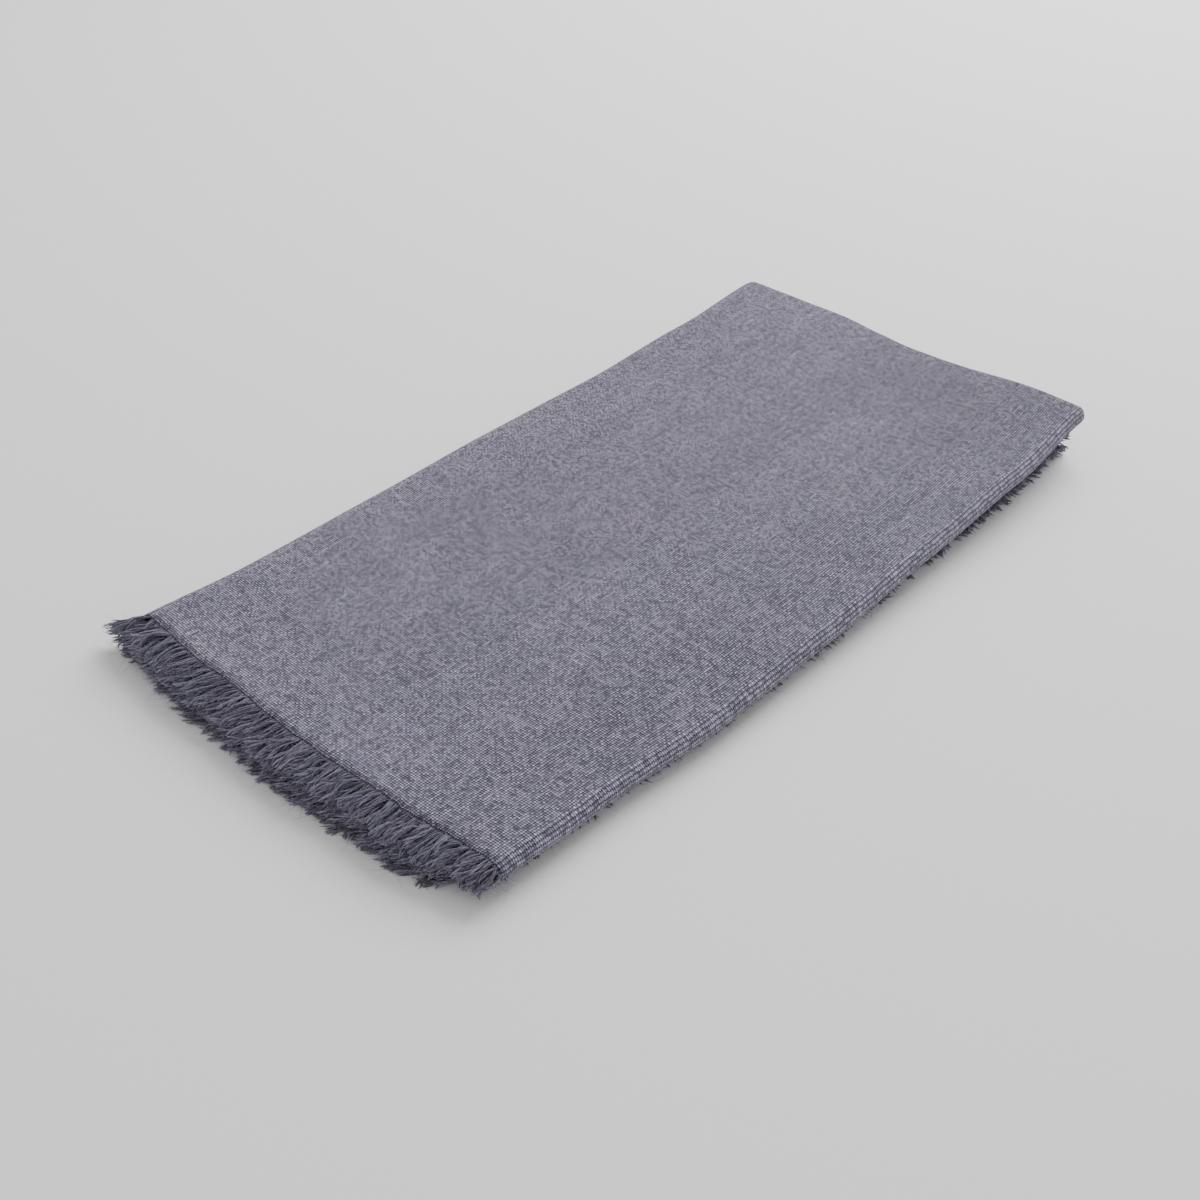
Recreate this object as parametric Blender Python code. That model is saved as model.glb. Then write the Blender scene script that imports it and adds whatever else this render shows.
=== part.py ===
"""A washed linen dinner napkin with frayed edges, folded and lying flat.

Metres, +Z up. X runs across the folded napkin, Y along it, and the frayed short end is at -Y.
The origin is the centre of the space it takes, on the surface it lies on.

The napkin is one piece of cloth, so it is one solid. It is drawn flat first, as a sheet with a
comb of teeth along its four frayed edges, and then folded: once crosswise, with that fold at +Y,
and twice lengthwise. A point of the flat sheet has two coordinates. `across` runs along the folded
section in XZ, from one side edge to the other. `down` runs from one short edge to the other, over
the crosswise fold at its middle.
"""

from collections import namedtuple
from math import cos, pi, sin

import bmesh
import bpy

# Sheet
SHEET = 0.0011            # thickness of the soft washed cloth
LAYER_GAP = 0.0004        # air between neighbouring layers
FRINGE = 0.010            # length of the frayed edge

# Folded size, without the fringe at the short end
FOLDED_WIDTH = 0.1265
FOLDED_LENGTH = 0.2500
EDGE_TEETH = 25           # teeth along one layer's side edge
RUN_TEETH = 15            # teeth along one full run across
SET_BACK_TEETH = 1        # how far the side edges lie inside the right fold, in teeth
TOOTH_SHARE = 0.6         # tooth width over tooth pitch
TOOTH_TAPER = 0.12        # how far each side of a tooth leans in, over its width
TOOTH_UNEVEN = 0.18       # how much shorter the shortest tooth is
TOOTH_TURN = 2.4          # step of the wave that sets a tooth's length, in radians

# The crosswise fold joins two layers, so a run is a pair of layers
LAYER_PITCH = SHEET + LAYER_GAP
RUN_PITCH = 2 * LAYER_PITCH
RUN_HALF = LAYER_PITCH / 2 + SHEET / 2
TIGHT_RADIUS = RUN_PITCH / 2
WIDE_RADIUS = 1.5 * RUN_PITCH
HEIGHT = 4 * RUN_PITCH - LAYER_GAP
MIDDLE = HEIGHT / 2

LEFT_TURN_X = WIDE_RADIUS + RUN_HALF - FOLDED_WIDTH / 2
RIGHT_TURN_X = FOLDED_WIDTH / 2 - TIGHT_RADIUS - RUN_HALF
RUN_LENGTH = RIGHT_TURN_X - LEFT_TURN_X
TOOTH_PITCH = RUN_LENGTH / RUN_TEETH
SHORT_RUN = RUN_LENGTH - SET_BACK_TEETH * TOOTH_PITCH

NEAR_EDGE_Y = (FRINGE - FOLDED_LENGTH) / 2
HAIRPIN_RADIUS = LAYER_PITCH / 2
LEG_LENGTH = FOLDED_LENGTH - HAIRPIN_RADIUS - SHEET / 2
HAIRPIN_Y = NEAR_EDGE_Y + LEG_LENGTH
HALF_DOWN = LEG_LENGTH + pi * HAIRPIN_RADIUS / 2

# Where the flat sheet has its rows of points, in teeth from the fold or edge
RUN_STATIONS = (0, 1, 3, 5, 7, 9, 11, 12.5, 13.5, 14, 14.5, 15)
LEG_STATIONS = (0.5, 3, 7, 11, 15, 19, 22, 24, 25)
BAND = 0.5                # width of the strip that carries the teeth, in teeth
TIGHT_STEPS = 6
WIDE_STEPS = 9
HAIRPIN_STEPS = 5
TIGHT_TURN_TEETH = (1, 1, 0, 0, 1, 1)
WIDE_TURN_TEETH = (0, 1, 1, 0, 1, 1, 0, 1, 1)
HAIRPIN_TEETH = (0, 1, 1, 1, 0)
CLOSE = 1e-7              # places nearer than this are the same one

# How the folded napkin lies, by distance from the near frayed end towards the far fold.
# left, right: outward bulge of each long side. droop: how far the right fold sags on its soft
# edge. lift: how far the right fold stands off the edges below it. swell: height over flat height.
SIDE_ROWS = (
    # along   left    right   droop   lift    swell
    (-0.130, 0.0005, -0.0015, 0.0018, 0.0000, 1.00),
    (-0.090, -0.0012, -0.0005, 0.0026, 0.0000, 1.00),
    (-0.045, -0.0004, 0.0012, 0.0030, 0.0000, 1.02),
    (0.000, 0.0000, 0.0010, 0.0028, 0.0004, 1.05),
    (0.045, -0.0004, 0.0006, 0.0020, 0.0012, 1.08),
    (0.090, 0.0006, 0.0002, 0.0010, 0.0026, 1.13),
    (0.130, 0.0018, -0.0010, 0.0002, 0.0040, 1.18),
)

# The same across the napkin. near, far: outward bulge of each short end. rise: height of the top.
END_ROWS = (
    # across  near    far     rise
    (-0.063, -0.0030, 0.0004, 0.0000),
    (-0.030, -0.0008, 0.0012, -0.0004),
    (0.002, 0.0010, -0.0006, 0.0002),
    (0.034, 0.0008, 0.0000, 0.0006),
    (0.063, -0.0006, 0.0008, 0.0000),
)
DROOP_START = 0.042       # where the right fold begins to sag, across
LIFT_START = -0.020       # where it begins to lift, across
FRINGE_SAG = 0.22         # share of its height that the near fringe loses at its tips

DROOP_CURVE = 1.4         # how gradually it does so

LINEN_COLOUR = (0.225, 0.218, 0.272, 1.0)
LINEN_ROUGHNESS = 0.92

# The folded section is a chain of straight runs and round turns. way is +1 where a run goes
# towards +X. A turn starts at an angle about its centre and sweeps on from there, in radians.
Run = namedtuple("Run", "length x z way")
Turn = namedtuple("Turn", "length x z radius start sweep")


def clear_scene():
    for item in list(bpy.data.objects):
        bpy.data.objects.remove(item, do_unlink=True)


# ---- the folded section ----

def turn_over(radius, x, z, start, sweep):
    return Turn(pi * radius, x, z, radius, start, sweep)


def section_parts():
    """The section from one side edge to the other: third layer pair, second, top and lowest."""
    level = [RUN_HALF + RUN_PITCH * row for row in range(4)]
    right_z = (level[2] + level[3]) / 2
    edge_x = LEFT_TURN_X + SHORT_RUN
    return (
        Run(SHORT_RUN, edge_x, level[1], -1),
        turn_over(TIGHT_RADIUS, LEFT_TURN_X, MIDDLE, 1.5 * pi, -pi),
        Run(RUN_LENGTH, LEFT_TURN_X, level[2], 1),
        turn_over(TIGHT_RADIUS, RIGHT_TURN_X, right_z, -0.5 * pi, pi),
        Run(RUN_LENGTH, RIGHT_TURN_X, level[3], -1),
        turn_over(WIDE_RADIUS, LEFT_TURN_X, MIDDLE, 0.5 * pi, pi),
        Run(SHORT_RUN, LEFT_TURN_X, level[0], 1),
    )


def section_starts():
    """Each part of the section with the length travelled before it."""
    travelled = 0.0
    for part in section_parts():
        yield travelled, part
        travelled += part.length


def section_length():
    return sum(part.length for part in section_parts())


def section_point(across):
    """Place and normal of the section's centre line, which runs straight on past its two ends."""
    for travelled, part in section_starts():
        if across <= travelled + part.length:
            break
    step = across - travelled
    if isinstance(part, Run):
        return part.x + part.way * step, part.z, 0.0, float(part.way)
    angle = part.start + part.sweep * step / part.length
    side = -1.0 if part.sweep > 0 else 1.0
    return (part.x + part.radius * cos(angle), part.z + part.radius * sin(angle),
            side * cos(angle), side * sin(angle))


def hairpin_point(down):
    """Offset from the run's centre line, place along Y, and their normal, over the crosswise fold."""
    turn = pi * HAIRPIN_RADIUS / 2
    if abs(down) >= turn:
        side = -1.0 if down < 0 else 1.0
        return side * HAIRPIN_RADIUS, HAIRPIN_Y - (abs(down) - turn), side, 0.0
    angle = down / HAIRPIN_RADIUS
    return (HAIRPIN_RADIUS * sin(angle), HAIRPIN_Y + HAIRPIN_RADIUS * cos(angle),
            sin(angle), cos(angle))


def folded(across, down, side):
    """A point of the sheet's face, folded but still lying even."""
    offset, y, turn_offset, turn_y = hairpin_point(down)
    x, z, normal_x, normal_z = section_point(across)
    offset += side * turn_offset * SHEET / 2
    return x + offset * normal_x, y + side * turn_y * SHEET / 2, z + offset * normal_z


# ---- how it lies ----

def smooth(value):
    value = min(max(value, 0.0), 1.0)
    return value * value * (3 - 2 * value)


def read_rows(rows, place, column):
    """A column of a table at a place between its rows, blended smoothly."""
    if place <= rows[0][0]:
        return rows[0][column]
    for low, high in zip(rows, rows[1:]):
        if place <= high[0]:
            share = smooth((place - low[0]) / (high[0] - low[0]))
            return low[column] + (high[column] - low[column]) * share
    return rows[-1][column]


def lying(point):
    """Moves a point of the even napkin to where the uneven one has it. The underside stays flat."""
    x, y, z = point
    half_width = FOLDED_WIDTH / 2
    half_length = FOLDED_LENGTH / 2
    leftward = smooth(-x / half_width)
    rightward = smooth(x / half_width)
    nearward = smooth(-y / half_length)
    farward = smooth(y / half_length)

    swell = read_rows(SIDE_ROWS, y, 5)
    droop = read_rows(SIDE_ROWS, y, 3) * ramp(x, DROOP_START, half_width) ** DROOP_CURVE
    lift = read_rows(SIDE_ROWS, y, 4) * smooth(ramp(x, LIFT_START, half_width))
    rise = read_rows(END_ROWS, x, 3)
    sag = 1 - FRINGE_SAG * smooth(ramp(-y, -NEAR_EDGE_Y, FRINGE - NEAR_EDGE_Y))

    level = z * swell
    level -= droop * ramp(z, SHEET, MIDDLE - LAYER_GAP / 2)
    level += lift * ramp(z, MIDDLE - LAYER_GAP / 2, MIDDLE + LAYER_GAP / 2)
    level += rise * ramp(z, SHEET, HEIGHT)
    place_x = x + read_rows(SIDE_ROWS, y, 2) * rightward - read_rows(SIDE_ROWS, y, 1) * leftward
    place_y = y + read_rows(END_ROWS, x, 2) * farward - read_rows(END_ROWS, x, 1) * nearward
    return place_x, place_y, level * sag


def ramp(value, start, end):
    return min(max((value - start) / (end - start), 0.0), 1.0)


# ---- the flat sheet and its teeth ----

def turn_steps(part):
    return WIDE_STEPS if part.radius == WIDE_RADIUS else TIGHT_STEPS


def run_marks(part, travelled, teeth):
    """Places along a run, given in teeth from its left end, as `across` values in order."""
    marks = [mark * TOOTH_PITCH for mark in teeth if mark * TOOTH_PITCH <= part.length + CLOSE]
    if part.way < 0:
        marks = [part.length - mark for mark in reversed(marks)]
    return [travelled + mark for mark in marks]


def across_stations():
    """Columns of the sheet's inner grid, from band to band."""
    marks = []
    for travelled, part in section_starts():
        if isinstance(part, Run):
            marks += run_marks(part, travelled, RUN_STATIONS)
        else:
            steps = turn_steps(part)
            marks += [travelled + part.length * step / steps for step in range(1, steps)]
    band = BAND * TOOTH_PITCH - CLOSE
    return [mark for mark in marks if band <= mark <= section_length() - band]


def down_stations():
    """Rows of the inner grid, from band to band."""
    pitch = LEG_LENGTH / EDGE_TEETH
    turn = pi * HAIRPIN_RADIUS / 2
    leg = [mark * pitch - HALF_DOWN for mark in LEG_STATIONS]
    bend = [turn * (2 * step / HAIRPIN_STEPS - 1) for step in range(1, HAIRPIN_STEPS)]
    return leg + bend + [-mark for mark in reversed(leg)]


def across_edge():
    """The short frayed edge as (start, end, has a tooth) pieces."""
    pieces = []
    tooth_width = TOOTH_PITCH * TOOTH_SHARE
    for travelled, part in section_starts():
        if isinstance(part, Run):
            teeth = range(RUN_TEETH + 1)
            marks = sorted([*teeth, *(tooth + TOOTH_SHARE for tooth in teeth)])
            places = run_marks(part, travelled, marks)
            for low, high in zip(places, places[1:]):
                pieces.append((low, high, abs(high - low - tooth_width) < CLOSE))
        else:
            steps = turn_steps(part)
            pattern = WIDE_TURN_TEETH if steps == WIDE_STEPS else TIGHT_TURN_TEETH
            places = [travelled + part.length * step / steps for step in range(steps + 1)]
            pieces += [(*ends, bool(tooth)) for *ends, tooth in zip(places, places[1:], pattern)]
    return pieces


def down_edge():
    """The long frayed edge as (start, end, has a tooth) pieces."""
    pitch = LEG_LENGTH / EDGE_TEETH
    turn = pi * HAIRPIN_RADIUS / 2
    leg = []
    for tooth in range(EDGE_TEETH):
        low = tooth * pitch - HALF_DOWN
        split = low + pitch * (1 - TOOTH_SHARE)
        leg += [(low, split, False), (split, low + pitch, True)]
    bend = []
    for step, tooth in enumerate(HAIRPIN_TEETH):
        low = turn * (2 * step / HAIRPIN_STEPS - 1)
        bend.append((low, low + 2 * turn / HAIRPIN_STEPS, bool(tooth)))
    return leg + bend + [(-high, -low, tooth) for low, high, tooth in reversed(leg)]


def tooth_length(number):
    return FRINGE * (1 - TOOTH_UNEVEN * (0.5 + 0.5 * sin(number * TOOTH_TURN)))


class FlatSheet:
    """Points and faces of the flat sheet, each point known by its place."""

    def __init__(self):
        self.points = []
        self.faces = []
        self.index = {}

    def point(self, across, down):
        key = (round(across, 7), round(down, 7))
        if key not in self.index:
            self.index[key] = len(self.points)
            self.points.append((across, down))
        return self.index[key]

    def face(self, *corners):
        self.faces.append([self.point(*corner) for corner in corners])


def add_grid(sheet, columns, rows):
    for left, right in zip(columns, columns[1:]):
        for low, high in zip(rows, rows[1:]):
            sheet.face((left, low), (right, low), (right, high), (left, high))


def add_band(sheet, inner, outer):
    """Fills the strip between the grid's border and the frayed edge, both lists of
    (measure, point) in the same direction."""
    first = 0
    second = 0
    while first < len(inner) - 1 or second < len(outer) - 1:
        step_inner = second == len(outer) - 1
        if not step_inner and first < len(inner) - 1:
            step_inner = inner[first + 1][0] < outer[second + 1][0]
        if step_inner:
            sheet.face(outer[second][1], inner[first + 1][1], inner[first][1])
            first += 1
        else:
            sheet.face(outer[second][1], outer[second + 1][1], inner[first][1])
            second += 1


def add_teeth(sheet, pieces, place):
    """A tooth on each marked piece of an edge. place(measure, distance out) gives the point."""
    number = 0
    for index, (low, high, tooth) in enumerate(pieces):
        if not tooth:
            number += 1
            continue
        out = tooth_length(number)
        lean = TOOTH_TAPER * (high - low)
        joined_before = index > 0 and pieces[index - 1][2]
        joined_after = index + 1 < len(pieces) and pieces[index + 1][2]
        tip_low = low if joined_before else low + lean
        tip_high = high if joined_after else high - lean
        sheet.face(place(low, 0.0), place(tip_low, out), place(tip_high, out), place(high, 0.0))


def flat_sheet():
    sheet = FlatSheet()
    columns = across_stations()
    rows = down_stations()
    full = section_length()
    add_grid(sheet, columns, rows)
    across_pieces = across_edge()
    down_pieces = down_edge()
    for side in (-1, 1):
        edge = side * HALF_DOWN
        border = rows[0] if side < 0 else rows[-1]
        inner = [(mark, (mark, border)) for mark in columns]
        outer = [(mark, (mark, edge)) for mark in edge_marks(across_pieces)]
        add_band(sheet, inner, outer)
        add_teeth(sheet, across_pieces, lambda mark, out, e=edge, s=side: (mark, e + s * out))
    for side in (-1, 1):
        edge = 0.0 if side < 0 else full
        border = columns[0] if side < 0 else columns[-1]
        inner = [(mark, (border, mark)) for mark in rows]
        outer = [(mark, (edge, mark)) for mark in edge_marks(down_pieces)]
        add_band(sheet, inner, outer)
        add_teeth(sheet, down_pieces, lambda mark, out, e=edge, s=side: (e + s * out, mark))
    return sheet


def edge_marks(pieces):
    return [pieces[0][0]] + [high for _, high, _ in pieces]


# ---- the solid ----

def napkin_mesh():
    """The flat sheet's two faces, folded, and the rim that closes them."""
    sheet = flat_sheet()
    mesh = bpy.data.meshes.new("napkin")
    solid = bmesh.new()
    layers = []
    for side in (1, -1):
        layers.append([solid.verts.new(lying(folded(*place, side))) for place in sheet.points])
    top, bottom = layers
    uses = {}
    for face in sheet.faces:
        face = wound(sheet, face)
        solid.faces.new([top[corner] for corner in face])
        solid.faces.new([bottom[corner] for corner in reversed(face)])
        for edge in zip(face, face[1:] + face[:1]):
            uses[edge] = True
    for low, high in uses:
        if (high, low) not in uses:
            solid.faces.new((top[high], top[low], bottom[low], bottom[high]))
    bmesh.ops.recalc_face_normals(solid, faces=solid.faces)
    centre_on_origin(solid)
    solid.to_mesh(mesh)
    solid.free()
    return mesh


def wound(sheet, face):
    """The face with its corners in one turning direction on the flat sheet."""
    area = 0.0
    for low, high in zip(face, face[1:] + face[:1]):
        area += sheet.points[low][0] * sheet.points[high][1]
        area -= sheet.points[high][0] * sheet.points[low][1]
    return face if area > 0 else face[::-1]


def centre_on_origin(solid):
    for axis in (0, 1):
        places = [vert.co[axis] for vert in solid.verts]
        middle = (min(places) + max(places)) / 2
        for vert in solid.verts:
            vert.co[axis] -= middle


def linen_material():
    material = bpy.data.materials.new("linen")
    material.use_nodes = True
    shader = material.node_tree.nodes["Principled BSDF"]
    shader.inputs["Base Color"].default_value = LINEN_COLOUR
    shader.inputs["Roughness"].default_value = LINEN_ROUGHNESS
    shader.inputs["Metallic"].default_value = 0.0
    material.diffuse_color = LINEN_COLOUR
    return material


def build_napkin():
    mesh = napkin_mesh()
    mesh.materials.append(linen_material())
    mesh.shade_smooth()
    mesh.set_sharp_from_angle(angle=pi / 5)
    napkin = bpy.data.objects.new("napkin", mesh)
    bpy.context.scene.collection.objects.link(napkin)
    return napkin


def main():
    clear_scene()
    build_napkin()


main()
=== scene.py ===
import math

import bpy
import numpy as np
from mathutils import Matrix, Vector


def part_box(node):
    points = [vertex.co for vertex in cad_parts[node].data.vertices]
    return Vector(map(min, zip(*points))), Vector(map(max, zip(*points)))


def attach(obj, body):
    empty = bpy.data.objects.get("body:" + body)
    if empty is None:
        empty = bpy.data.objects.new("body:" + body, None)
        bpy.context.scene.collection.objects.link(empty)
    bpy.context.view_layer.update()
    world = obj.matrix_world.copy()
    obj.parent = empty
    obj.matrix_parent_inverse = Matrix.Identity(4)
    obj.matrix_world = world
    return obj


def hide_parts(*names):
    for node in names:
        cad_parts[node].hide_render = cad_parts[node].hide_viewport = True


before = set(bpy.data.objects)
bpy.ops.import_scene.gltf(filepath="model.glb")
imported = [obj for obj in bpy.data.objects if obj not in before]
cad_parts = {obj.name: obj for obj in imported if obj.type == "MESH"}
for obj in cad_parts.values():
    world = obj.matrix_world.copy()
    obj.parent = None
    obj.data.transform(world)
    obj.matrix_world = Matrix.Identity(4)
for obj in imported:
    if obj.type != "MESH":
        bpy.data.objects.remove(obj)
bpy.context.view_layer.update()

# The folded sheet, in metres. A place on the flat cloth is (across, down): across runs along the
# folded section from one side edge to the other, down runs over the crosswise fold at its middle.
fold = {
    "width": 0.1265,  # outside of one long fold to outside of the other
    "length": 0.2500,  # woven cloth only
    "fringe": 0.010,
    "layer": 0.0015,  # from one layer to the next
    "solidLayer": 0.0011,  # thickness of a layer of the CAD solid
    "thickness": 0.00056,
    "setBack": 1 / 15,  # how far the side edges lie inside the right fold, over a run's length
    "columns": (18, 8, 24, 14, 96, 18, 30),  # of mesh, part by part along the section
    "legRows": 108,
    "bendRows": 10,
}

# How it lies, along the napkin and across it: rows like the solid's, with the sides a little more
# uneven. left, right, near and far push the sides outwards.
sideRows = {
    "along": (-0.130, -0.090, -0.045, 0.000, 0.045, 0.090, 0.130),
    "left": (-0.0002, -0.0022, -0.0018, -0.0008, -0.0010, 0.0006, 0.0032),
    "right": (-0.0028, -0.0017, 0.0008, 0.0010, 0.0006, 0.0008, -0.0010),
    "droop": (0.0018, 0.0026, 0.0030, 0.0028, 0.0020, 0.0010, 0.0002),
    "lift": (0.0000, 0.0000, 0.0000, 0.0004, 0.0012, 0.0026, 0.0040),
    "swell": (1.00, 1.00, 1.02, 1.05, 1.08, 1.13, 1.18),
}
endRows = {
    "across": (-0.063, -0.030, 0.002, 0.034, 0.063),
    "near": (-0.0030, 0.0002, 0.0022, 0.0012, -0.0024),
    "far": (0.0018, 0.0036, 0.0002, -0.0002, 0.0006),
    "rise": (0.0000, 0.0002, 0.0002, 0.0004, 0.0000),
}
lie = {"droopStart": 0.042, "droopCurve": 1.4, "liftStart": -0.004, "fringeSag": 0.22}

# How far each layer's frayed end lies beyond the top one's: the section's runs in order, for both
# plies of the crosswise fold.
stagger = {
    "from": 0.020,  # from the middle towards the frayed end
    "upper": (0.0006, 0.0016, 0.0000, 0.0022),
    "lower": (0.0014, 0.0007, 0.0011, 0.0010),
}

# Soft ridges (+) and troughs (-) of the top: from, to, half width and height.
creases = (
    {"start": (0.050, -0.125), "end": (0.047, 0.060), "half": 0.009, "height": -0.00035},
    {"start": (-0.052, -0.110), "end": (-0.040, 0.120), "half": 0.012, "height": 0.00030},
    {"start": (-0.030, 0.128), "end": (0.020, 0.070), "half": 0.014, "height": -0.00045},
    {"start": (0.045, 0.128), "end": (0.030, 0.060), "half": 0.012, "height": 0.00050},
    {"start": (-0.060, -0.040), "end": (0.020, -0.015), "half": 0.016, "height": 0.00022},
    {"start": (-0.040, -0.085), "end": (0.050, -0.070), "half": 0.014, "height": -0.00024},
    {"start": (-0.058, 0.045), "end": (0.010, 0.030), "half": 0.013, "height": -0.00022},
    {"start": (0.000, -0.118), "end": (0.058, -0.112), "half": 0.006, "height": 0.00020},
)
ripple = {
    "height": 0.00030,
    "cell": 0.021,
    "fineHeight": 0.00010,
    "fineCell": 0.0075,
    "fade": 0.012,  # towards the turns
}

fold["pair"] = 2 * fold["layer"]
fold["half"] = fold["layer"] / 2 + fold["solidLayer"] / 2
fold["tight"] = fold["pair"] / 2
fold["wide"] = 1.5 * fold["pair"]
fold["height"] = 4 * fold["pair"] - fold["layer"] + fold["solidLayer"]
fold["leftX"] = fold["wide"] + fold["half"] - fold["width"] / 2
fold["rightX"] = fold["width"] / 2 - fold["tight"] - fold["half"]
fold["run"] = fold["rightX"] - fold["leftX"]
fold["shortRun"] = fold["run"] * (1 - fold["setBack"])
fold["bend"] = fold["layer"] / 2
fold["nearY"] = (fold["fringe"] - fold["length"]) / 2
fold["leg"] = fold["length"] - fold["bend"] - fold["solidLayer"] / 2
fold["bendY"] = fold["nearY"] + fold["leg"]
fold["halfDown"] = fold["leg"] + math.pi * fold["bend"] / 2


def sectionParts():
    # (length, x, z, way or radius, start angle, sweep), a run having no sweep
    level = [fold["half"] + fold["pair"] * row for row in range(4)]
    middle = fold["height"] / 2
    edgeX = fold["leftX"] + fold["shortRun"]
    tight, wide = fold["tight"], fold["wide"]
    rightZ = (level[2] + level[3]) / 2
    return (
        (fold["shortRun"], edgeX, level[1], -1, 0, 0),
        (math.pi * tight, fold["leftX"], middle, tight, 1.5 * math.pi, -math.pi),
        (fold["run"], fold["leftX"], level[2], 1, 0, 0),
        (math.pi * tight, fold["rightX"], rightZ, tight, -0.5 * math.pi, math.pi),
        (fold["run"], fold["rightX"], level[3], -1, 0, 0),
        (math.pi * wide, fold["leftX"], middle, wide, 0.5 * math.pi, math.pi),
        (fold["shortRun"], fold["leftX"], level[0], 1, 0, 0),
    )


fold["across"] = sum(part[0] for part in sectionParts())


def sectionCurve(across):
    x, z, normalX, normalZ = (np.zeros_like(across) for _ in range(4))
    turning = np.zeros_like(across)
    travelled = 0.0
    for number, (length, partX, partZ, size, start, sweep) in enumerate(sectionParts()):
        here = across >= travelled if number else np.full(across.shape, True)
        step = across[here] - travelled
        if sweep == 0:
            x[here], z[here] = partX + size * step, partZ
            normalX[here], normalZ[here] = 0.0, size
            turning[here] = 0.0
        else:
            angle = start + sweep * step / length
            side = -1.0 if sweep > 0 else 1.0
            x[here], z[here] = partX + size * np.cos(angle), partZ + size * np.sin(angle)
            normalX[here], normalZ[here] = side * np.cos(angle), side * np.sin(angle)
            turning[here] = 1.0
        travelled += length
    return x, z, normalX, normalZ, turning


def crosswiseFold(down):
    turn = math.pi * fold["bend"] / 2
    side = np.where(down < 0, -1.0, 1.0)
    angle = np.clip(down / fold["bend"], -math.pi / 2, math.pi / 2)
    straight = np.maximum(np.abs(down) - turn, 0.0)
    offset = fold["bend"] * np.sin(angle)
    y = fold["bendY"] + fold["bend"] * np.cos(angle) - straight
    return offset, y, np.where(straight > 0, side, np.sin(angle)), np.cos(angle)


def smooth(value):
    value = np.clip(value, 0.0, 1.0)
    return value * value * (3 - 2 * value)


def ramp(value, start, end):
    return np.clip((value - start) / (end - start), 0.0, 1.0)


def readRows(rows, key, name, place):
    stations = np.array(rows[key])
    values = np.array(rows[name])
    place = np.clip(place, stations[0], stations[-1])
    low = np.clip(np.searchsorted(stations, place, side="right") - 1, 0, len(stations) - 2)
    share = smooth((place - stations[low]) / (stations[low + 1] - stations[low]))
    return values[low] + (values[low + 1] - values[low]) * share


def softNoise(u, v, seed):
    # smooth noise from -1 to 1, one value to each whole number of u and v
    lattice = np.random.default_rng(seed).uniform(-1, 1, (64, 64))
    lowU, lowV = np.floor(u).astype(int), np.floor(v).astype(int)
    shareU, shareV = smooth(u - lowU), smooth(v - lowV)
    corner = lattice[lowU % 64, lowV % 64]
    right = lattice[(lowU + 1) % 64, lowV % 64]
    top = lattice[lowU % 64, (lowV + 1) % 64]
    both = lattice[(lowU + 1) % 64, (lowV + 1) % 64]
    near = corner + (right - corner) * shareU
    far = top + (both - top) * shareU
    return near + (far - near) * shareV


def creaseHeight(x, y):
    total = np.zeros_like(x)
    for crease in creases:
        start, end = np.array(crease["start"]), np.array(crease["end"])
        line = end - start
        share = np.clip(((x - start[0]) * line[0] + (y - start[1]) * line[1]) / line.dot(line), 0, 1)
        away = np.hypot(x - start[0] - line[0] * share, y - start[1] - line[1] * share)
        total += crease["height"] * (1 - smooth(away / (2.2 * crease["half"]))) ** 1.5
    return total


def layUneven(x, y, z):
    # from the even napkin to the one that lies there, its underside still flat
    halfWidth, halfLength = fold["width"] / 2, fold["length"] / 2
    height, middle, air = fold["height"], fold["height"] / 2, fold["layer"] - fold["solidLayer"]
    floorPly = fold["solidLayer"]
    droop = readRows(sideRows, "along", "droop", y)
    droop = droop * ramp(x, lie["droopStart"], halfWidth) ** lie["droopCurve"]
    lift = readRows(sideRows, "along", "lift", y) * smooth(ramp(x, lie["liftStart"], halfWidth))
    rise = readRows(endRows, "across", "rise", x) + creaseHeight(x, y)
    level = z * readRows(sideRows, "along", "swell", y)
    level = level - droop * ramp(z, floorPly, middle - air / 2)
    level = level + lift * ramp(z, middle - air / 2, middle + air / 2)
    level = level + rise * ramp(z, floorPly, height) ** 2
    sag = 1 - lie["fringeSag"] * smooth(ramp(-y, -fold["nearY"], fold["fringe"] - fold["nearY"]))
    left = readRows(sideRows, "along", "left", y) * smooth(-x / halfWidth)
    right = readRows(sideRows, "along", "right", y) * smooth(x / halfWidth)
    near = readRows(endRows, "across", "near", x) * smooth(-y / halfLength)
    far = readRows(endRows, "across", "far", x) * smooth(y / halfLength)
    return x + right - left, y + far - near, level * sag


def layerRipple(across, down, x, y):
    # each layer rises and falls a little on its own, and the lowest one not at all
    onPly = (down < 0, down >= 0)
    total = np.zeros_like(across)
    starts = np.cumsum([0] + [part[0] for part in sectionParts()])
    for number in (0, 2, 4):
        middle = (starts[number] + starts[number + 1]) / 2
        reach = (starts[number + 1] - starts[number]) / 2
        weight = 1 - smooth((np.abs(across - middle) - reach + ripple["fade"]) / ripple["fade"])
        for ply in (0, 1):
            seed = 20 + number * 2 + ply
            wave = ripple["height"] * softNoise(x / ripple["cell"], y / ripple["cell"], seed)
            fine = softNoise(x / ripple["fineCell"], y / ripple["fineCell"], seed + 40)
            total += (wave + ripple["fineHeight"] * fine) * weight * onPly[ply]
    return total


def layerStagger(across, down):
    starts = np.cumsum([0] + [part[0] for part in sectionParts()])
    middles = [(starts[number] + starts[number + 1]) / 2 for number in (0, 2, 4, 6)]
    upper = np.interp(across, middles, stagger["upper"])
    lower = np.interp(across, middles, stagger["lower"])
    return np.where(down < 0, upper, lower)


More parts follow.
